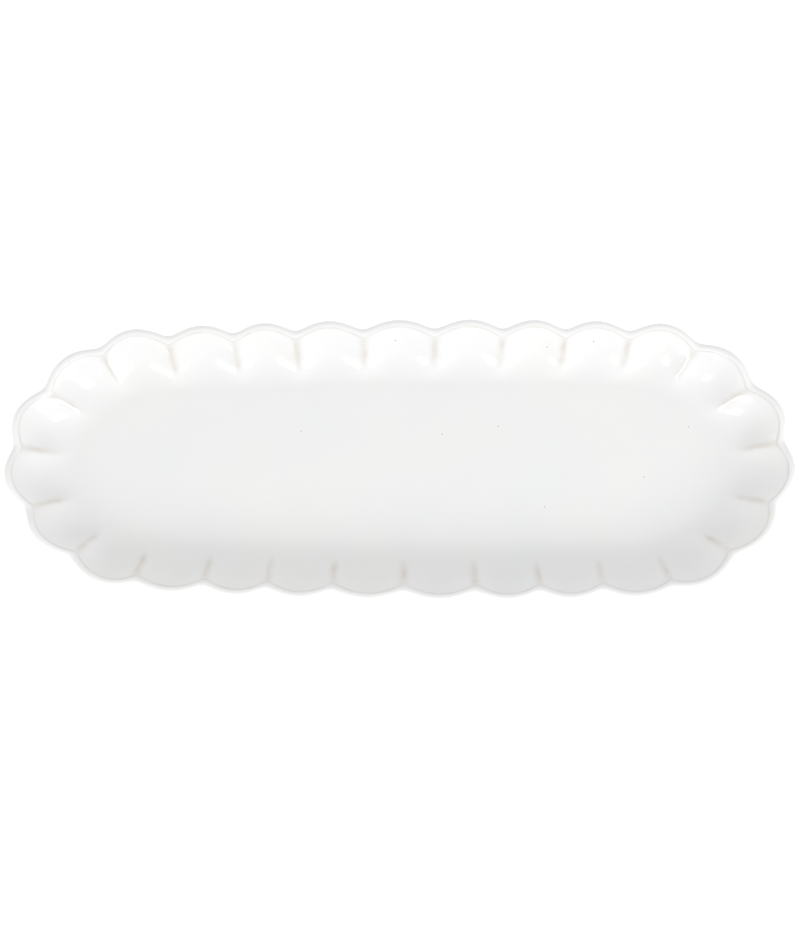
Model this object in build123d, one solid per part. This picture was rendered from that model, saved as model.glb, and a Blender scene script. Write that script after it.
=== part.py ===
"""A scalloped oblong serving platter in glazed ceramic.

The platter is one fired clay body with a foot ring, a glaze coat over its inside, lip and outside,
and a patch of glaze under it, inside the foot ring. Millimetres, +Z up. The origin is under the
middle of the platter, on the plane that the foot ring stands on.
"""

from build123d import *

import math
import os
from dataclasses import dataclass, replace

# Oval through the notches between the petals
RIM_LENGTH = 365.8
RIM_WIDTH = 128.9
SIDE_RADIUS = 2700.0
END_TAPER = 3.0
END_REACH = 3.5
SHOULDER_CUT = 1.5

# Petals: a ridge's softness is a share of half a petal, and it grows with the cube of the distance
PETALS = 27
PETAL_DEPTH_INSIDE = 4.7
PETAL_DEPTH_OUTSIDE = 3.8
PETAL_HOLD = 8.0
PETAL_FADE = 14.0
PETAL_START = 0.284
PETAL_UNEVENNESS = 0.078
PETAL_WAVES = 6
RIDGE_SOFTNESS_INSIDE = 0.09
RIDGE_SOFTNESS_OUTSIDE = 0.25
RIDGE_FADE = 0.00008
RIDGE_LEAN = 0.30
NOTCH_DIP_INSIDE = 3.6
NOTCH_DIP_OUTSIDE = 1.0
NOTCH_FADE_POWER = 4

# Lip, wall, floor and foot
RIM_HEIGHT = 24.0
LIP_WIDTH = 5.1
LIP_RISE = 1.6
LIP_DROP = 2.8
WALL_SLOPE = 50.0
WALL_BEND = 15.0
FLOOR_THICKNESS = 3.6
FOOT_HEIGHT = 2.4
FOOT_WIDTH = 6.0
FOOT_ROUNDING = 1.0

# Glaze
GLAZE_THICKNESS = 0.35

# How finely the shape is sampled
WALL_STEPS = 7
LIP_STEPS = 6
FOOT_STEPS = 3
PETAL_SHARES = (0.0, 0.1, 0.3, 0.5, 0.7, 0.9)

FLOOR_HEIGHT = FOOT_HEIGHT + FLOOR_THICKNESS


@dataclass(frozen=True)
class Arc:
    """A stretch of the oval: centre, radius and the angles in radians where it starts and ends."""

    x: float
    y: float
    radius: float
    start: float
    end: float

    @property
    def length(self):
        return self.radius * (self.end - self.start)


@dataclass(frozen=True)
class Station:
    """A line round the platter: inset from the oval, height, petal depth and ridge softness.

    The dip is how much lower it runs at the ridges than at the middles of the petals.
    """

    inset: float
    height: float
    depth: float
    softness: float
    dip: float


def oval_arcs():
    """Two round ends of slightly different size, joined by two sides that bow out."""
    half_length = RIM_LENGTH / 2
    half_width = RIM_WIDTH / 2
    mean_end = (2 * SIDE_RADIUS * half_width - half_width**2 - half_length**2) / (
        2 * (SIDE_RADIUS - half_length)
    )
    wide_end = mean_end + END_TAPER / 2
    narrow_end = mean_end - END_TAPER / 2
    wide_x = half_length - wide_end
    narrow_x = narrow_end - half_length
    to_wide = SIDE_RADIUS - wide_end
    to_narrow = SIDE_RADIUS - narrow_end
    span = wide_x - narrow_x
    along = (to_wide**2 - to_narrow**2 + span**2) / (2 * span)
    side_x = wide_x - along
    side_y = math.sqrt(to_wide**2 - along**2)
    turn_wide = math.atan2(side_y, wide_x - side_x)
    turn_narrow = math.atan2(side_y, narrow_x - side_x)
    return (
        Arc(wide_x, 0, wide_end, 0, turn_wide),
        Arc(side_x, -side_y, SIDE_RADIUS, turn_wide, turn_narrow),
        Arc(narrow_x, 0, narrow_end, turn_narrow, 2 * math.pi - turn_narrow),
        Arc(side_x, side_y, SIDE_RADIUS, 2 * math.pi - turn_narrow, 2 * math.pi - turn_wide),
        Arc(wide_x, 0, wide_end, 2 * math.pi - turn_wide, 2 * math.pi),
    )


ARCS = oval_arcs()
OVAL_LENGTH = sum(arc.length for arc in ARCS)


def oval_place(share):
    """Point on the oval at this share of its length, and the direction that faces outward there."""
    left = (share % 1) * OVAL_LENGTH
    for arc in ARCS:
        if left <= arc.length:
            break
        left -= arc.length
    angle = arc.start + left / arc.radius
    outward = Vector(math.cos(angle), math.sin(angle))
    return Vector(arc.x, arc.y) + outward * arc.radius, outward


def petal_share(petal):
    """Share of the oval's length at a petal number: petals are wider in some places than others."""
    even = (petal + PETAL_START) / PETALS
    waves = 2 * math.pi * PETAL_WAVES
    return even - PETAL_UNEVENNESS / waves * math.sin(waves * even)


def scallop(share, softness):
    """How far a petal bulges, from 0 at the ridges beside it to 1 at its middle."""
    rise = 1 - abs(2 * share - 1)
    soft = (math.hypot(rise, softness) - softness) / (math.hypot(1, softness) - softness)
    return 2 * soft - soft**2


def contour_point(station, petal):
    """Point on a station's line at a petal number."""
    place, outward = oval_place(petal_share(petal))
    bulge = scallop(petal % 1, station.softness)
    reach = END_REACH * outward.X**4 - SHOULDER_CUT * (2 * outward.X * outward.Y) ** 2
    point = place + outward * (reach + station.depth * bulge - station.inset)
    past_lip = max(0.0, station.inset - LIP_WIDTH)
    lean = RIDGE_LEAN * past_lip * place.X / (RIM_LENGTH / 2)
    return Vector(point.X - lean, point.Y, station.height - station.dip * (1 - bulge))


def contour(station):
    """Closed line round the platter at a station, one edge to a petal, meeting at the ridges."""
    edges = []
    for petal in range(PETALS):
        points = [contour_point(station, petal + share) for share in PETAL_SHARES]
        points.append(contour_point(station, (petal + 1) % PETALS))
        edges.append(Edge.make_spline(points, parameters=(*PETAL_SHARES, 1.0)))
    return Wire(edges)


def mix(a, b, share):
    """Value between a and b."""
    return a + (b - a) * share


def lip_end(depth):
    """Angle round the lip, down to where it is as steep as the wall: its quarter is this deep."""
    return math.atan(depth / (LIP_WIDTH / 2) / math.tan(math.radians(WALL_SLOPE)))


def lip(skin):
    """Stations over the rounded lip, from its inner side to its outer."""
    half_lip = LIP_WIDTH / 2
    lines = []
    for step in range(LIP_STEPS + 1):
        share = step / LIP_STEPS
        angle = mix(lip_end(LIP_RISE), math.pi + lip_end(LIP_DROP), share)
        quarter = LIP_RISE if angle < math.pi / 2 else LIP_DROP
        across = math.cos(angle)
        up = math.sin(angle)
        stretch = math.hypot(across / half_lip, up / quarter)
        lines.append(
            Station(
                half_lip * (1 + across) - skin * across / half_lip / stretch,
                RIM_HEIGHT - quarter * (1 - up) - skin * up / quarter / stretch,
                mix(PETAL_DEPTH_INSIDE, PETAL_DEPTH_OUTSIDE, share),
                mix(RIDGE_SOFTNESS_INSIDE, RIDGE_SOFTNESS_OUTSIDE, share),
                mix(NOTCH_DIP_INSIDE, NOTCH_DIP_OUTSIDE, share),
            )
        )
    return lines


def wall(top, end_height, skin):
    """Stations down a wall, which falls at one slope and then levels out at the end height.

    The top is the lip's station where the wall starts. The skin is how far below the wall's surface
    they lie, or above it where it is negative.
    """
    slope = math.tan(math.radians(WALL_SLOPE))
    straight = (top.height - end_height) / slope - WALL_BEND / 2
    lines = []
    for step in range(1, WALL_STEPS + 1):
        share = step / WALL_STEPS
        along = share * (straight + WALL_BEND)
        turn = math.pi * max(0.0, along - straight) / WALL_BEND
        fall = slope * (min(along, straight) + WALL_BEND * (turn + math.sin(turn)) / (2 * math.pi))
        steep = slope * (1 + math.cos(turn)) / 2
        stretch = math.hypot(steep, 1)
        fading = min(1.0, max(0.0, along - PETAL_HOLD) / PETAL_FADE)
        lines.append(
            Station(
                top.inset + along - skin * steep / stretch,
                top.height - fall - skin / stretch,
                top.depth * math.cos(math.pi / 2 * fading) ** 2,
                top.softness + RIDGE_FADE * along**3,
                top.dip * (1 - share) ** NOTCH_FADE_POWER,
            )
        )
    return lines


def profile(skin):
    """Stations from the floor, up the inner wall, over the lip and down to the foot.

    A skin above zero gives the surface that lies that far inside the outer one.
    """
    inside = wall(lip(0)[0], FLOOR_HEIGHT, skin)
    outside = wall(lip(0)[-1], FOOT_HEIGHT, -skin)
    return inside[::-1] + lip(skin) + outside


def lofted(lines, ruled=False):
    """The faces that run through these closed lines, without the flat ends."""
    return [face for face in Solid.make_loft(lines, ruled).faces() if face.geom_type != GeomType.PLANE]


def closed(faces):
    """The solid that these faces close."""
    return Solid(Shell(faces))


def dish_skin(skin):
    """Faces over the inner wall, lip and outer wall, and the lines where they start and end."""
    lines = [contour(station) for station in profile(skin)]
    lip_end = WALL_STEPS + LIP_STEPS
    bands = (lines[: WALL_STEPS + 1], lines[WALL_STEPS : lip_end + 1], lines[lip_end:])
    return [face for band in bands for face in lofted(band)], lines[0], lines[-1]


def foot_side(top, inward):
    """Lines down one side of the foot ring, to where its rounded edge meets the ground.

    The side rounds inward, toward the platter's middle, or outward.
    """
    lines = [contour(top)]
    for step in range(FOOT_STEPS + 1):
        turn = math.pi / 2 * step / FOOT_STEPS
        across = FOOT_ROUNDING * (1 - math.cos(turn)) * (1 if inward else -1)
        height = FOOT_ROUNDING * (1 - math.sin(turn))
        lines.append(contour(replace(top, inset=top.inset + across, height=height)))
    return lines


def foot_stations():
    """Where the two sides of the foot ring meet the clay above it."""
    outer = profile(GLAZE_THICKNESS)[-1]
    return outer, replace(outer, inset=outer.inset + FOOT_WIDTH)


def clay_body():
    """Fired body: the dish and the bare foot ring under it, in one piece."""
    skin, floor_line, _ = dish_skin(GLAZE_THICKNESS)
    outer, inner = foot_stations()
    outer_side = foot_side(outer, True)
    inner_side = foot_side(inner, False)
    faces = [*skin, Face(floor_line), Face(inner_side[0])]
    for side in (outer_side, inner_side):
        faces += lofted(side[:2], ruled=True)
        faces += lofted(side[1:])
    faces.append(Face(outer_side[-1], [inner_side[-1]]))
    return closed(faces)


def glaze_coat():
    """Glaze over the inside, the lip and the outside, down to the foot ring."""
    over, over_floor, over_foot = dish_skin(0)
    under, under_floor, under_foot = dish_skin(GLAZE_THICKNESS)
    edge = lofted([over_foot, under_foot], ruled=True)
    return closed([*over, *under, *edge, Face(over_floor), Face(under_floor)])


def underside_glaze():
    """Glaze on the flat underside, inside the foot ring."""
    _, inner = foot_stations()
    outline = contour(replace(inner, height=inner.height - GLAZE_THICKNESS))
    return Solid.extrude(Face(outline), Vector(0, 0, GLAZE_THICKNESS))


def main():
    """Build each piece, centre them all on the origin together, and write them."""
    pieces = {
        "clay_body": clay_body(),
        "glaze_coat": glaze_coat(),
        "underside_glaze": underside_glaze(),
    }
    middle = pieces["glaze_coat"].bounding_box().center()
    os.makedirs("parts", exist_ok=True)
    for name, piece in pieces.items():
        export_step(Pos(-middle.X, -middle.Y, 0) * piece, f"parts/{name}.step")


main()
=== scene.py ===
"""A scalloped white serving platter: its glaze, its clay body and a small studio.

Lengths are in millimetres while a piece is shaped and in metres once it is in the scene.
"""

import logging
import math
from dataclasses import dataclass, field, replace
from enum import Enum

import bpy
import numpy as np
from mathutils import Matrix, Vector


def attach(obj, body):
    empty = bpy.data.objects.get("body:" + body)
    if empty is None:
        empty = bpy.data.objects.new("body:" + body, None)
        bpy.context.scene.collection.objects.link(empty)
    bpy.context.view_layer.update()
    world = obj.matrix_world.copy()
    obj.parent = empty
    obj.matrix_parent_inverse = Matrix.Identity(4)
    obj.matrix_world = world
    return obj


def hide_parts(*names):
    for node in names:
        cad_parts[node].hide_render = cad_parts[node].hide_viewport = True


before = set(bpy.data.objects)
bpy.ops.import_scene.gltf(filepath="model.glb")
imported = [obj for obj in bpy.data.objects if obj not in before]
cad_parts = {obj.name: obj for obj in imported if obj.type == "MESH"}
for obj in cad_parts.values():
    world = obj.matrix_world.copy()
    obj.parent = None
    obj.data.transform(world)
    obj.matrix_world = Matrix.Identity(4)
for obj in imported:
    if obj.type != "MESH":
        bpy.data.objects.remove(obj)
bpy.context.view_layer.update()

LOG = logging.getLogger("platter")
BODY = "root"
METRES = 0.001
# Mesh attribute for the warm tint: thin glaze, and painted shade on the ridges and lip edges.
THIN_GLAZE_AND_SHADE = "thin_glaze_and_shade"
Array = np.ndarray
Colour = tuple[float, float, float]


class Slot(Enum):
    """The material slots that the pieces take their finish from."""

    GLAZE = "white_glaze"
    CLAY = "fired_clay"


@dataclass(frozen=True)
class Arc:
    """One stretch of the oval: centre, radius, and the angles where it starts and ends."""

    x: float
    y: float
    radius: float
    start: float
    end: float

    @property
    def length(self) -> float:
        """Length of the stretch."""
        return self.radius * (self.end - self.start)


@dataclass(frozen=True)
class RimOval:
    """The oval through the notches between the petals."""

    length: float = 365.8
    width: float = 128.9
    side_radius: float = 2700.0
    end_taper: float = 3.0

    def arcs(self) -> tuple[Arc, ...]:
        """Two round ends of slightly different size, joined by two sides that bow out.

        Returns:
            The stretches, counter-clockwise from the tip of the wider end.
        """
        half_length = self.length / 2
        half_width = self.width / 2
        mean_end = (2 * self.side_radius * half_width - half_width**2 - half_length**2) / (
            2 * (self.side_radius - half_length)
        )
        wide_end = mean_end + self.end_taper / 2
        narrow_end = mean_end - self.end_taper / 2
        wide_x = half_length - wide_end
        narrow_x = narrow_end - half_length
        to_wide = self.side_radius - wide_end
        to_narrow = self.side_radius - narrow_end
        span = wide_x - narrow_x
        along = (to_wide**2 - to_narrow**2 + span**2) / (2 * span)
        side_x = wide_x - along
        side_y = math.sqrt(to_wide**2 - along**2)
        turn_wide = math.atan2(side_y, wide_x - side_x)
        turn_narrow = math.atan2(side_y, narrow_x - side_x)
        full = 2 * math.pi
        return (
            Arc(wide_x, 0, wide_end, 0, turn_wide),
            Arc(side_x, -side_y, self.side_radius, turn_wide, turn_narrow),
            Arc(narrow_x, 0, narrow_end, turn_narrow, full - turn_narrow),
            Arc(side_x, side_y, self.side_radius, full - turn_narrow, full - turn_wide),
            Arc(wide_x, 0, wide_end, full - turn_wide, full),
        )

    def places(self, share: Array) -> tuple[Array, Array]:
        """Points on the oval.

        Args:
            share: Shares of the oval's whole length.

        Returns:
            The points, and the directions that face outward there.
        """
        arcs = self.arcs()
        starts = np.cumsum([0.0] + [arc.length for arc in arcs])
        along = (share % 1) * starts[-1]
        which = np.clip(np.searchsorted(starts, along, side="right") - 1, 0, len(arcs) - 1)
        radius = np.array([arc.radius for arc in arcs])[which]
        centre = np.array([(arc.x, arc.y) for arc in arcs])[which]
        first = np.array([arc.start for arc in arcs])[which]
        angle = first + (along - starts[which]) / radius
        outward = np.stack([np.cos(angle), np.sin(angle)], axis=-1)
        return centre + outward * radius[:, None], outward


@dataclass(frozen=True)
class RoundLine:
    """A line round the platter: inset from the oval, height, petal depth, ridge softness, and wear and
    painted shade.

    The dip is how much lower it runs at the ridges. The wear is how strong the warm tint is there, partly
    thin glaze and
    partly painted shade: on the ridges, and all along the line.
    """

    inset: float
    height: float
    depth: float
    softness: float
    dip: float = 0.0
    ridge_wear_and_shade: float = 0.0
    line_wear_and_shade: float = 0.0


@dataclass(frozen=True)
class Petals:
    """The petals round the rim and the ridges between them."""

    count: int = 27
    depth_inside: float = 4.7
    depth_outside: float = 3.8
    hold: float = 8.0
    fade: float = 14.0
    start: float = 0.284
    unevenness: float = 0.078
    waves: int = 6
    ridge_inside: float = 0.09
    ridge_outside: float = 0.25
    softening: float = 0.00008
    lean: float = 0.30
    dip_inside: float = 3.6
    dip_outside: float = 1.0
    end_reach: float = 3.5
    shoulder_cut: float = 1.5
    lip_width: float = 5.1
    crowding: float = 0.72
    ridge_width: float = 0.055

    def numbers(self, per_petal: int) -> Array:
        """Petal numbers of the columns round the rim, closer together at the ridges.

        Args:
            per_petal: Columns to a petal.

        Returns:
            One petal number to a column.
        """
        even = np.arange(per_petal) / per_petal
        share = even - self.crowding / (2 * math.pi) * np.sin(2 * math.pi * even)
        return (np.arange(self.count)[:, None] + share).ravel()

    def scallop(self, share: Array, softness: float) -> Array:
        """How far a petal bulges, from 0 at its ridges to 1 at its middle.

        Args:
            share: Places across the petal, from 0 to 1.
            softness: How round the ridge is.

        Returns:
            The bulge at each place.
        """
        rise = 1 - np.abs(2 * share - 1)
        soft = (np.hypot(rise, softness) - softness) / (math.hypot(1, softness) - softness)
        return 2 * soft - soft**2

    def ring(self, oval: RimOval, line: RoundLine, numbers: Array) -> Array:
        """Points of a line round the platter.

        Args:
            oval: The rim's oval.
            line: The line to follow.
            numbers: Petal numbers of the columns.

        Returns:
            One point to a column.
        """
        even = (numbers + self.start) / self.count
        turns = 2 * math.pi * self.waves
        share = even - self.unevenness / turns * np.sin(turns * even)
        place, outward = oval.places(share)
        across, along = outward.T
        bulge = self.scallop(numbers % 1, line.softness)
        reach = self.end_reach * across**4 - self.shoulder_cut * (2 * across * along) ** 2
        point = place + outward * (reach + line.depth * bulge - line.inset)[:, None]
        past_lip = max(0.0, line.inset - self.lip_width)
        point[:, 0] -= self.lean * past_lip * place[:, 0] / (oval.length / 2)
        return np.column_stack([point, line.height - line.dip * (1 - bulge)])

    def left_at(self, along: float) -> float:
        """How much of a petal is left this far down the wall."""
        fading = min(1.0, max(0.0, along - self.hold) / self.fade)
        return math.cos(math.pi / 2 * fading) ** 2

    def wear_and_shade(self, line: RoundLine, numbers: Array) -> Array:
        """How strong the warm tint lies along a line: thin glaze, and painted shade on the ridges and lip
        edges.

        Args:
            line: The line.
            numbers: Petal numbers of the columns.

        Returns:
            A share from 0 to 1 for each column.
        """
        away = 0.5 - np.abs(numbers % 1 - 0.5)
        # The ridge mark: partly thin glaze, partly painted shade of the ridge.
        ridge = np.exp(-((away / self.ridge_width) ** 2))
        return np.clip(line.ridge_wear_and_shade * ridge + line.line_wear_and_shade, 0, 1)


@dataclass(frozen=True)
class ThinGlazeAndShadeBand:
    """A band of warm tint, partly thin glaze and partly painted shade: its middle, its half width, how
    strong, and how square.
    """

    middle: float
    half_width: float
    strength: float = 1.0
    power: int = 2

    def at(self, place: float) -> float:
        """How strong the tint of thin glaze and painted shade is at a place across the band."""
        return self.strength * math.exp(-(((place - self.middle) / self.half_width) ** self.power))


@dataclass(frozen=True)
class WallSection:
    """The cut through the wall, from the floor over the lip to the foot ring.

    The lip's bands of tint, thin glaze and painted shade at its edges, are placed by shares of the way
    over the lip, and the ridges' band by millimetres in from the oval.
    """

    rim_height: float = 24.0
    lip_width: float = 5.1
    lip_rise: float = 1.6
    lip_drop: float = 2.8
    slope: float = 50.0
    bend: float = 15.0
    floor_height: float = 6.0
    foot_height: float = 2.4
    foot_width: float = 6.0
    foot_rounding: float = 1.0
    # Bands of warm tint, partly thin glaze and partly painted shade: the lip's inner and outer edges, and
    # the ridges.
    inner_edge: ThinGlazeAndShadeBand = ThinGlazeAndShadeBand(0.05, 0.06, 0.95)
    outer_edge: ThinGlazeAndShadeBand = ThinGlazeAndShadeBand(0.86, 0.12, 0.35)
    ridge_band: ThinGlazeAndShadeBand = ThinGlazeAndShadeBand(10.5, 6.0, power=4)

    def lip_end(self, depth: float) -> float:
        """Angle round the lip to where it is as steep as the wall: its quarter is this deep."""
        return math.atan(depth / (self.lip_width / 2) / math.tan(math.radians(self.slope)))

    def lip(self, petals: Petals, skin: float, steps: int) -> list[RoundLine]:
        """Lines over the rounded lip.

        Args:
            petals: The petals that shape the lip.
            skin: How far inside the outer surface to stay.
            steps: Number of spaces between the lines.

        Returns:
            The lines, from the inner side to the outer.
        """
        half_lip = self.lip_width / 2
        lines = []
        for step in range(steps + 1):
            share = step / steps
            angle = self.lip_end(self.lip_rise) * (1 - share)
            angle += (math.pi + self.lip_end(self.lip_drop)) * share
            quarter = self.lip_rise if angle < math.pi / 2 else self.lip_drop
            across = math.cos(angle)
            up = math.sin(angle)
            stretch = math.hypot(across / half_lip, up / quarter)
            lines.append(
                RoundLine(
                    inset=half_lip * (1 + across) - skin * across / half_lip / stretch,
                    height=self.rim_height - quarter * (1 - up) - skin * up / quarter / stretch,
                    depth=petals.depth_inside * (1 - share) + petals.depth_outside * share,
                    softness=petals.ridge_inside * (1 - share) + petals.ridge_outside * share,
                    dip=petals.dip_inside * (1 - share) + petals.dip_outside * share,
                    # Tint at the lip's edges: thin glaze and painted shade.
                    line_wear_and_shade=self.inner_edge.at(share) + self.outer_edge.at(share),
                )
            )
        return lines

    def side(
        self, petals: Petals, top: RoundLine, end_height: float, skin: float, steps: int
    ) -> list[RoundLine]:
        """Lines down a wall, which falls at one slope and then levels out.

        Args:
            petals: The petals that shape the wall.
            top: The lip's line where the wall starts.
            end_height: Height where the wall has levelled out.
            skin: How far the lines lie below the surface, or above it where negative.
            steps: Number of lines.

        Returns:
            The lines, the highest first.
        """
        slope = math.tan(math.radians(self.slope))
        straight = (top.height - end_height) / slope - self.bend / 2
        run = straight + self.bend
        lines = []
        for step in range(1, steps + 1):
            share = step / steps
            along = share * run
            turn = math.pi * max(0.0, along - straight) / self.bend
            fall = slope * (min(along, straight) + self.bend * (turn + math.sin(turn)) / (2 * math.pi))
            steep = slope * (1 + math.cos(turn)) / 2
            stretch = math.hypot(steep, 1)
            lines.append(
                RoundLine(
                    inset=top.inset + along - skin * steep / stretch,
                    height=top.height - fall - skin / stretch,
                    depth=top.depth * petals.left_at(along),
                    softness=top.softness + petals.softening * along**3,
                    dip=top.dip * (1 - share) ** 4,
                )
            )
        return lines

    def inner(self, petals: Petals, skin: float, steps: int) -> list[RoundLine]:
        """Lines from the floor up to the lip.

        Args:
            petals: The petals that shape the wall.
            skin: How far inside the outer surface to stay.
            steps: Number of lines.

        Returns:
            The lines, the lowest first.
        """
        top = self.lip(petals, 0.0, 1)[0]
        lines = self.side(petals, top, self.floor_height, skin, steps)
        # Tint down the ridges: thin glaze and painted shade.
        return [replace(line, ridge_wear_and_shade=self.ridge_band.at(line.inset)) for line in reversed(lines)]

    def outer(self, petals: Petals, skin: float, steps: int) -> list[RoundLine]:
        """Lines from the lip down the outside to the foot ring.

        Args:
            petals: The petals that shape the wall.
            skin: How far inside the outer surface to stay.
            steps: Number of lines.

        Returns:
            The lines, the highest first.
        """
        top = self.lip(petals, 0.0, 1)[-1]
        return self.side(petals, top, self.foot_height, -skin, steps)

    def foot(self, top: RoundLine, steps: int) -> list[RoundLine]:
        """Lines down the outer side of the foot ring, across its bottom and up its inner side.

        Args:
            top: The line where the ring's outer side meets the clay above it.
            steps: Number of lines round each bottom edge.

        Returns:
            The lines, the outermost first.
        """
        turns = [math.pi / 2 * step / steps for step in range(steps + 1)]
        side = [
            (self.foot_rounding * (1 - math.cos(turn)), self.foot_rounding * (1 - math.sin(turn)))
            for turn in turns
        ]
        inner = top.inset + self.foot_width
        lines = [replace(top, inset=top.inset + across, height=up) for across, up in side]
        lines += [replace(top, inset=inner - across, height=up) for across, up in reversed(side)]
        lines.append(replace(top, inset=inner))
        return lines


@dataclass(frozen=True)
class HandWork:
    """The slight waviness that pressing and finishing by hand leaves."""

    height: float = 0.16

    def settle(self, points: Array) -> Array:
        """Lifts and lowers a surface a little.

        Args:
            points: Points in millimetres.

        Returns:
            The same points, moved up or down by a fraction of a millimetre.
        """
        x, y, z = points.T
        wave = (
            np.sin(0.071 * x + 0.043 * y + 0.6)
            + 0.7 * np.sin(0.112 * x - 0.137 * y + 2.1)
            + 0.5 * np.sin(0.203 * x + 0.167 * y + 4.4)
            + 0.3 * np.sin(0.391 * x - 0.272 * y + 1.3)
        )
        clear_of_foot = np.clip((z - 2.0) / 6.0, 0, 1)
        return np.column_stack([x, y, z + self.height * wave * clear_of_foot / 2.5])


@dataclass(frozen=True)
class Form:
    """The platter's whole form: oval, petals and wall."""

    oval: RimOval = field(default_factory=RimOval)
    petals: Petals = field(default_factory=Petals)
    wall: WallSection = field(default_factory=WallSection)
    hand: HandWork = field(default_factory=HandWork)
    floor_rings: int = 14
    floor_dish: float = 0.35

    def ring(self, line: RoundLine, numbers: Array) -> Array:
        """Points of one line round the platter."""
        return self.petals.ring(self.oval, line, numbers)

    def floor(self, edge: Array, dish: float) -> list[Array]:
        """Rings that close a flat or slightly dished floor.

        Args:
            edge: The floor's outermost ring.
            dish: How far the middle sinks below the edge.

        Returns:
            The rings, from the middle outward, without the edge itself.
        """
        rings = []
        for step in range(1, self.floor_rings):
            share = (step / self.floor_rings) ** 1.3
            ring = edge * np.array([share, share, 1.0])
            ring[:, 2] -= dish * (1 - share**2)
            rings.append(ring)
        return rings

    def middle(self, numbers: Array) -> Array:
        """How far the outline's own middle lies from the origin."""
        outline = np.vstack([self.ring(line, numbers) for line in self.wall.lip(self.petals, 0.0, 12)])
        return (outline.min(axis=0) + outline.max(axis=0)) / 2 * np.array([1.0, 1.0, 0.0])


@dataclass
class Surface:
    """A closed surface: rings of points, each joined to the next, and a tip at each end."""

    name: str
    rings: list[Array]
    wear_and_shade: list[Array]

    def to_object(self, offset: Array) -> bpy.types.Object:
        """Makes the surface a mesh object.

        Args:
            offset: How far to move it, in millimetres.

        Returns:
            The new object, linked to the scene.
        """
        count = len(self.rings[0])
        points = np.vstack(self.rings)
        wear_and_shade = np.concatenate(self.wear_and_shade)
        column = np.arange(count)
        following = (column + 1) % count
        last = len(self.rings) - 1
        faces: list[tuple[int, ...]] = []
        for row in range(last):
            low = row * count
            high = low + count
            quads = np.column_stack([low + column, low + following, high + following, high + column])
            faces += [tuple(quad) for quad in quads.tolist()]
        tips = np.array([self.rings[0].mean(axis=0), self.rings[-1].mean(axis=0)])
        first_tip = len(points)
        points = np.vstack([points, tips])
        wear_and_shade = np.append(wear_and_shade, [0.0, 0.0])
        top = np.column_stack([following, column, np.full(count, first_tip)])
        bottom = last * count + np.column_stack([column, following])
        bottom = np.column_stack([bottom, np.full(count, first_tip + 1)])
        faces += [tuple(tri) for tri in top.tolist()] + [tuple(tri) for tri in bottom.tolist()]
        mesh = bpy.data.meshes.new(self.name)
        mesh.from_pydata(((points + offset) * METRES).tolist(), [], faces)
        # Per-point strength of the warm tint: thin glaze, and painted shade on the ridges and lip edges.
        mesh.attributes.new(THIN_GLAZE_AND_SHADE, "FLOAT", "POINT").data.foreach_set("value", wear_and_shade.astype(float))
        mesh.polygons.foreach_set("use_smooth", [True] * len(mesh.polygons))
        mesh.update()
        made = bpy.data.objects.new(self.name, mesh)
        bpy.context.scene.collection.objects.link(made)
        return made


class Nodes:
    """A material's node tree, with short ways to add nodes and join them."""

    def __init__(self, name: str) -> None:
        """Starts a material with a Principled shader.

        Args:
            name: The material's name.
        """
        self.material = bpy.data.materials.new(name)
        self.material.use_nodes = True
        self.tree = self.material.node_tree
        self.shader = self.tree.nodes["Principled BSDF"]

    def add(self, kind: str, **settings: object) -> bpy.types.Node:
        """Adds a node.

        Args:
            kind: The node's type.
            settings: Properties to set on it.

        Returns:
            The node.
        """
        node = self.tree.nodes.new(kind)
        for name, value in settings.items():
            setattr(node, name, value)
        return node

    def join(self, source: bpy.types.NodeSocket, target: bpy.types.NodeSocket) -> None:
        """Joins two sockets."""
        self.tree.links.new(source, target)

    def noise(self, scale: float, detail: float) -> bpy.types.Node:
        """Adds noise laid over the object's own coordinates.

        Args:
            scale: Waves to a metre.
            detail: How many finer layers it has.

        Returns:
            The noise node.
        """
        where = self.add("ShaderNodeTexCoord")
        noise = self.add("ShaderNodeTexNoise")
        noise.inputs["Scale"].default_value = scale
        noise.inputs["Detail"].default_value = detail
        self.join(where.outputs["Object"], noise.inputs["Vector"])
        return noise

    def spread(self, source: bpy.types.NodeSocket, low: float, high: float) -> bpy.types.NodeSocket:
        """Spreads the middle of a noise over a range.

        Args:
            source: The noise.
            low: Value at its low end.
            high: Value at its high end.

        Returns:
            The new value's socket.
        """
        spread = self.add("ShaderNodeMapRange")
        spread.inputs["From Min"].default_value = 0.3
        spread.inputs["From Max"].default_value = 0.7
        spread.inputs["To Min"].default_value = low
        spread.inputs["To Max"].default_value = high
        self.join(source, spread.inputs["Value"])
        return spread.outputs["Result"]

    def multiply(self, first: bpy.types.NodeSocket, second: bpy.types.NodeSocket) -> bpy.types.NodeSocket:
        """Multiplies two values."""
        times = self.add("ShaderNodeMath", operation="MULTIPLY")
        self.join(first, times.inputs[0])
        self.join(second, times.inputs[1])
        return times.outputs[0]

    def blend(
        self,
        share: bpy.types.NodeSocket,
        under: bpy.types.NodeSocket | Colour,
        over: Colour,
    ) -> bpy.types.NodeSocket:
        """Blends one colour into another.

        Args:
            share: How much of the second colour shows.
            under: The first colour, or a socket that gives it.
            over: The second colour.

        Returns:
            The blended colour's socket.
        """
        mix = self.add("ShaderNodeMix", data_type="RGBA")
        self.join(share, mix.inputs["Factor"])
        first, second = mix.inputs[6], mix.inputs[7]
        if isinstance(under, tuple):
            first.default_value = (*under, 1.0)
        else:
            self.join(under, first)
        second.default_value = (*over, 1.0)
        return mix.outputs[2]

    def bump(self, height: bpy.types.NodeSocket, strength: float, distance: float) -> None:
        """Roughens the surface's shading a little.

        Args:
            height: The socket that gives the height.
            strength: How much of it shows.
            distance: The height's size in metres.
        """
        bump = self.add("ShaderNodeBump")
        bump.inputs["Strength"].default_value = strength
        bump.inputs["Distance"].default_value = distance
        self.join(height, bump.inputs["Height"])
        self.join(bump.outputs["Normal"], self.shader.inputs["Normal"])


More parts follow.
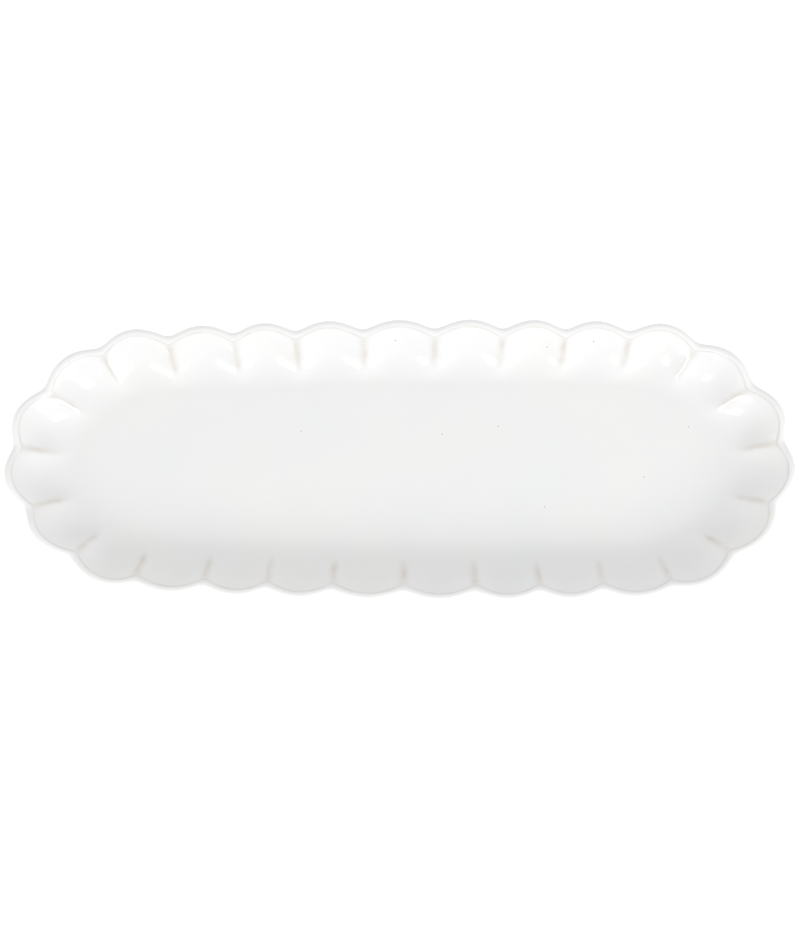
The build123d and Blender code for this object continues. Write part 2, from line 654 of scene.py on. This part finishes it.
@dataclass(frozen=True)
class GlazeFinish:
    """Glossy off-white glaze. It has a warm tint on the ridges and lip edges, partly where it lies thin
    and partly painted shade, and a few tiny dark spots painted as the shade in pinhole pits.
    """

    white: Colour = (0.880, 0.878, 0.868)
    cloud: Colour = (0.862, 0.866, 0.868)
    # Warm grey-beige tint: partly thin glaze over the ridges and lip edges, partly painted shade of those
    # ridges and edges.
    thin_and_shade: Colour = (0.60, 0.53, 0.44)
    # Dark colour painted as the shade inside tiny pinhole pits.
    pinhole_shade: Colour = (0.30, 0.26, 0.22)
    gloss_low: float = 0.10
    gloss_high: float = 0.18
    cloud_scale: float = 22.0
    # Size, spread and rarity of the painted pinhole shade.
    pinhole_scale: float = 42.0
    pinhole_radius: float = 0.0100
    pinhole_rarity: float = 0.86
    # How strong and how patchy the tint of thin glaze and painted shade is.
    thin_and_shade_strength: float = 0.55
    thin_and_shade_patchiness: float = 0.35
    thin_and_shade_scale: float = 140.0
    gloss_scale: float = 60.0
    ripple_scale: float = 170.0
    ripple_strength: float = 0.25
    ripple_height: float = 0.0002
    refraction: float = 1.52

    def painted_pinholes(self, nodes: Nodes) -> bpy.types.NodeSocket:
        """Scatters a few tiny dark spots: painted shade inside pinhole pits.

        Args:
            nodes: The material's nodes.

        Returns:
            A socket that is 1 inside a painted pinhole.
        """
        where = nodes.add("ShaderNodeTexCoord")
        cells = nodes.add("ShaderNodeTexVoronoi", voronoi_dimensions="2D")
        cells.inputs["Scale"].default_value = self.pinhole_scale
        nodes.join(where.outputs["Object"], cells.inputs["Vector"])
        near = nodes.add("ShaderNodeMath", operation="LESS_THAN")
        near.inputs[1].default_value = self.pinhole_radius
        nodes.join(cells.outputs["Distance"], near.inputs[0])
        parts = nodes.add("ShaderNodeSeparateColor")
        nodes.join(cells.outputs["Color"], parts.inputs["Color"])
        rare = nodes.add("ShaderNodeMath", operation="GREATER_THAN")
        rare.inputs[1].default_value = self.pinhole_rarity
        nodes.join(parts.outputs["Red"], rare.inputs[0])
        return nodes.multiply(near.outputs[0], rare.outputs[0])

    def material(self) -> bpy.types.Material:
        """Makes the glaze's material."""
        nodes = Nodes(Slot.GLAZE.value)
        cloud = nodes.spread(nodes.noise(self.cloud_scale, 2.0).outputs["Fac"], 0.0, 1.0)
        colour = nodes.blend(cloud, self.white, self.cloud)
        # Tint where the mesh marks the ridges and lip edges: partly thin glaze, partly painted shade.
        wear_and_shade = nodes.add("ShaderNodeAttribute", attribute_name=THIN_GLAZE_AND_SHADE)
        patches = nodes.noise(self.thin_and_shade_scale, 3.0).outputs["Fac"]
        break_up = nodes.spread(patches, self.thin_and_shade_patchiness * self.thin_and_shade_strength, self.thin_and_shade_strength)
        thin_and_shade = nodes.multiply(wear_and_shade.outputs["Fac"], break_up)
        colour = nodes.blend(thin_and_shade, colour, self.thin_and_shade)
        # Tiny dark spots: painted shade of pinhole pits.
        colour = nodes.blend(self.painted_pinholes(nodes), colour, self.pinhole_shade)
        nodes.join(colour, nodes.shader.inputs["Base Color"])
        gloss_noise = nodes.noise(self.gloss_scale, 2.0).outputs["Fac"]
        gloss = nodes.spread(gloss_noise, self.gloss_low, self.gloss_high)
        nodes.join(gloss, nodes.shader.inputs["Roughness"])
        nodes.shader.inputs["IOR"].default_value = self.refraction
        ripples = nodes.noise(self.ripple_scale, 1.0).outputs["Fac"]
        nodes.bump(ripples, self.ripple_strength, self.ripple_height)
        return nodes.material


@dataclass(frozen=True)
class ClayFinish:
    """Bare fired clay: warm, matt and finely gritty."""

    light: Colour = (0.74, 0.66, 0.55)
    dark: Colour = (0.62, 0.53, 0.42)
    roughness: float = 0.86
    grain_scale: float = 900.0
    grain_strength: float = 0.6
    grain_height: float = 0.0002

    def material(self) -> bpy.types.Material:
        """Makes the clay's material."""
        nodes = Nodes(Slot.CLAY.value)
        grain = nodes.noise(self.grain_scale, 4.0).outputs["Fac"]
        colour = nodes.blend(nodes.spread(grain, 0.0, 1.0), self.light, self.dark)
        nodes.join(colour, nodes.shader.inputs["Base Color"])
        nodes.shader.inputs["Roughness"].default_value = self.roughness
        nodes.bump(grain, self.grain_strength, self.grain_height)
        return nodes.material


class Piece:
    """A piece of the platter that stands for one node of the part."""

    node: str
    slot: Slot

    def surface(self) -> Surface:
        """Shapes the piece."""
        raise NotImplementedError

    def build(self, offset: Array, material: bpy.types.Material) -> bpy.types.Object:
        """Makes the piece and dresses it.

        Args:
            offset: How far to move it, in millimetres.
            material: Its finish.

        Returns:
            The piece.
        """
        made = self.surface().to_object(offset)
        made.data.materials.append(material)
        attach(made, BODY)
        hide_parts(self.node)
        LOG.info("%s: %d faces", self.node, len(made.data.polygons))
        return made


@dataclass
class GlazeCoat(Piece):
    """The glaze over the inside, the lip and the outside, down to the foot ring."""

    form: Form
    thickness: float = 0.35
    columns: int = 24
    wall_steps: int = 40
    lip_steps: int = 24
    outer_steps: int = 30
    hidden_steps: int = 9
    node: str = "glaze_coat"
    slot: Slot = Slot.GLAZE

    def lines(self, skin: float, inner: int, lip: int, outer: int) -> list[RoundLine]:
        """Lines from the floor over the lip to the foot.

        Args:
            skin: How far inside the outer surface to stay.
            inner: Number of lines on the inner wall.
            lip: Number of spaces over the lip.
            outer: Number of lines on the outer wall.

        Returns:
            The lines in order.
        """
        wall, petals = self.form.wall, self.form.petals
        return (
            wall.inner(petals, skin, inner) + wall.lip(petals, skin, lip) + wall.outer(petals, skin, outer)
        )

    def surface(self) -> Surface:
        """Shapes the glaze: its face, then back along the clay to the middle of the floor."""
        form = self.form
        numbers = form.petals.numbers(self.columns)
        face = self.lines(0.0, self.wall_steps, self.lip_steps, self.outer_steps)
        back = self.lines(self.thickness, self.hidden_steps, self.hidden_steps // 2, self.hidden_steps)
        face_rings = [form.ring(line, numbers) for line in face]
        back_rings = [form.ring(line, numbers) for line in reversed(back)]
        floor = form.floor(face_rings[0], form.floor_dish)
        under = form.floor(back_rings[-1], form.floor_dish)[::-1][::4]
        rings = floor + face_rings + back_rings + under
        bare = np.zeros(len(numbers))
        wear_and_shade = [bare] * len(floor)
        # Only the glaze's face carries the tint of thin glaze and painted shade.
        wear_and_shade += [form.petals.wear_and_shade(line, numbers) for line in face]
        wear_and_shade += [bare] * (len(back_rings) + len(under))
        return Surface(self.node, [form.hand.settle(ring) for ring in rings], wear_and_shade)


@dataclass
class ClayBody(Piece):
    """The fired clay inside the glaze, and the bare foot ring."""

    form: Form
    glaze: float = 0.35
    columns: int = 24
    wall_steps: int = 20
    lip_steps: int = 8
    outer_steps: int = 16
    foot_steps: int = 6
    node: str = "clay_body"
    slot: Slot = Slot.CLAY

    def surface(self) -> Surface:
        """Shapes the clay: inside, lip, outside, foot ring and underside."""
        form = self.form
        wall, petals = form.wall, form.petals
        numbers = petals.numbers(self.columns)
        lines = wall.inner(petals, self.glaze, self.wall_steps)
        lines += wall.lip(petals, self.glaze, self.lip_steps)
        lines += wall.outer(petals, self.glaze, self.outer_steps)
        lines += wall.foot(lines[-1], self.foot_steps)
        rings = [form.ring(line, numbers) for line in lines]
        floor = form.floor(rings[0], form.floor_dish)[::2]
        under = form.floor(rings[-1], 0.0)[::-1][::3]
        rings = [form.hand.settle(ring) for ring in floor + rings + under]
        bare = np.zeros(len(numbers))
        return Surface(self.node, rings, [bare] * len(rings))


@dataclass
class UndersideGlaze(Piece):
    """The patch of glaze on the underside, inside the foot ring."""

    form: Form
    thickness: float = 0.35
    columns: int = 12
    bead_steps: int = 4
    node: str = "underside_glaze"
    slot: Slot = Slot.GLAZE

    def surface(self) -> Surface:
        """Shapes the patch: flat against the clay, with a rounded lower edge."""
        form = self.form
        wall, petals = form.wall, form.petals
        numbers = petals.numbers(self.columns)
        top = wall.outer(petals, self.thickness, 1)[-1]
        top = replace(top, inset=top.inset + wall.foot_width)
        lines = [top]
        for step in range(1, self.bead_steps + 1):
            turn = math.pi / 2 * step / self.bead_steps
            lines.append(
                replace(
                    top,
                    inset=top.inset + self.thickness * (1 - math.cos(turn)),
                    height=top.height - self.thickness * math.sin(turn),
                )
            )
        edge = [form.ring(line, numbers) for line in lines]
        above = form.floor(edge[0], 0.0)[::4]
        below = form.floor(edge[-1], 0.0)[::-1]
        rings = above + edge + below
        bare = np.zeros(len(numbers))
        return Surface(self.node, rings, [bare] * len(rings))


@dataclass(frozen=True)
class SoftBox:
    """A square or oblong light that faces the platter."""

    name: str
    place: tuple[float, float, float]
    width: float
    height: float
    power: float
    aim: tuple[float, float, float] = (0.0, 0.0, 0.0)

    def build(self) -> bpy.types.Object:
        """Hangs the light."""
        data = bpy.data.lights.new(self.name, "AREA")
        data.shape = "RECTANGLE"
        data.size = self.width
        data.size_y = self.height
        data.energy = self.power
        light = bpy.data.objects.new(self.name, data)
        light.location = self.place
        toward = Vector(self.aim) - Vector(self.place)
        light.rotation_euler = toward.to_track_quat("-Z", "Y").to_euler()
        bpy.context.scene.collection.objects.link(light)
        return light


@dataclass(frozen=True)
class Studio:
    """A pale floor, soft light and the camera."""

    floor_size: float = 6.0
    floor_colour: Colour = (0.90, 0.90, 0.90)
    floor_glow: float = 0.60
    sky: float = 0.845
    boxes: tuple[SoftBox, ...] = (
        SoftBox("left_box", (-0.56, -1.04, 0.56), 0.28, 0.42, 2.5),
        SoftBox("right_box", (0.70, -0.96, 0.54), 0.50, 0.42, 4.8),
    )
    distance: float = 1.4134
    elevation: float = 82.0
    aim: tuple[float, float, float] = (0.0, -0.0024, 0.026)
    lens: float = 114.9

    def lay_floor(self) -> None:
        """Lays the pale floor under the platter."""
        half = self.floor_size / 2
        mesh = bpy.data.meshes.new("studio_floor")
        corners = [(-half, -half, 0), (half, -half, 0), (half, half, 0), (-half, half, 0)]
        mesh.from_pydata(corners, [], [(0, 1, 2, 3)])
        floor = bpy.data.objects.new("studio_floor", mesh)
        bpy.context.scene.collection.objects.link(floor)
        nodes = Nodes("studio_floor")
        nodes.shader.inputs["Base Color"].default_value = (*self.floor_colour, 1.0)
        nodes.shader.inputs["Roughness"].default_value = 0.9
        nodes.shader.inputs["Specular IOR Level"].default_value = 0.0
        nodes.shader.inputs["Emission Color"].default_value = (1.0, 1.0, 1.0, 1.0)
        nodes.shader.inputs["Emission Strength"].default_value = self.floor_glow
        mesh.materials.append(nodes.material)

    def light(self) -> None:
        """Sets the even light all round and hangs the soft boxes."""
        world = bpy.data.worlds.new("studio")
        world.use_nodes = True
        sky = world.node_tree.nodes["Background"]
        sky.inputs["Color"].default_value = (1.0, 1.0, 1.0, 1.0)
        sky.inputs["Strength"].default_value = self.sky
        bpy.context.scene.world = world
        for box in self.boxes:
            box.build()

    def set_camera(self) -> None:
        """Sets the camera high above the platter's long side."""
        data = bpy.data.cameras.new("camera")
        data.lens = self.lens
        data.sensor_width = 36.0
        data.clip_end = 20.0
        camera = bpy.data.objects.new("camera", data)
        up = math.radians(self.elevation)
        back = Vector((0.0, -math.cos(up), math.sin(up)))
        camera.location = Vector(self.aim) + back * self.distance
        camera.rotation_euler = (math.pi / 2 - up, 0.0, 0.0)
        bpy.context.scene.collection.objects.link(camera)
        bpy.context.scene.camera = camera

    def build(self) -> None:
        """Sets up the whole studio."""
        self.lay_floor()
        self.light()
        self.set_camera()
        scene = bpy.context.scene
        scene.view_settings.view_transform = "Standard"
        scene.view_settings.look = "None"
        LOG.info("studio: floor, %d soft boxes and camera", len(self.boxes))


def main() -> None:
    """Builds the platter's pieces in order, then the studio."""
    logging.basicConfig(level=logging.INFO, format="%(name)s: %(message)s")
    form = Form()
    glaze = GlazeFinish().material()
    clay = ClayFinish().material()
    offset = -form.middle(form.petals.numbers(24))
    ClayBody(form).build(offset, clay)
    GlazeCoat(form).build(offset, glaze)
    UndersideGlaze(form).build(offset, glaze)
    Studio().build()


if __name__ == "__main__":
    main()
